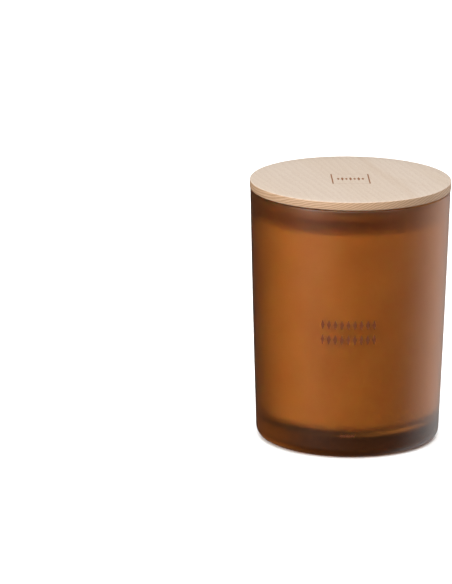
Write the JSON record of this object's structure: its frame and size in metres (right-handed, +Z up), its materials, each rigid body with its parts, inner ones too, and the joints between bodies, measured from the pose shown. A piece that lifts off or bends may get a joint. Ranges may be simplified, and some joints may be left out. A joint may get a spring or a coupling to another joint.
{
  "type": "candle jar",
  "caption": "Tapered frosted amber glass candle jar with a thick foot, poured wax on tabbed cotton wicks, and a flat wooden lid that lifts off on a lipped seal.",
  "frame": {"origin": "centre of the ring that the jar stands on, at the bottom of the box round the whole object", "axes": "+Z up along the jar's axis; the front print faces -Y"},
  "size_m": [0.12, 0.12, 0.1577],
  "materials": {
    "frosted_glass": "satin frosted amber glass, darker where it is thick",
    "wax": "poured wax, soft and slightly waxy",
    "cotton": "braided undyed cotton",
    "tinplate": "stamped tinplate",
    "adhesive": "soft adhesive pad",
    "beech": "sanded, unvarnished pale beech",
    "silicone": "translucent silicone"
  },
  "bodies": {
    "jar": {"glass_jar": "frosted_glass", "wax_fill": "wax", "wick_1": "cotton", "wick_2": "cotton", "wick_3": "cotton", "wick_tab_1": "tinplate", "wick_tab_2": "tinplate", "wick_tab_3": "tinplate", "wick_pad_1": "adhesive", "wick_pad_2": "adhesive", "wick_pad_3": "adhesive"},
    "lid": {"lid_disc": "beech", "lid_plug": "beech", "lid_seal": "silicone"}
  },
  "joints": [
    {"name": "lid_lift", "type": "slide", "parent": "jar", "child": "lid", "axis": [0, 0, 1], "range_m": [0, 0.08]}
  ]
}
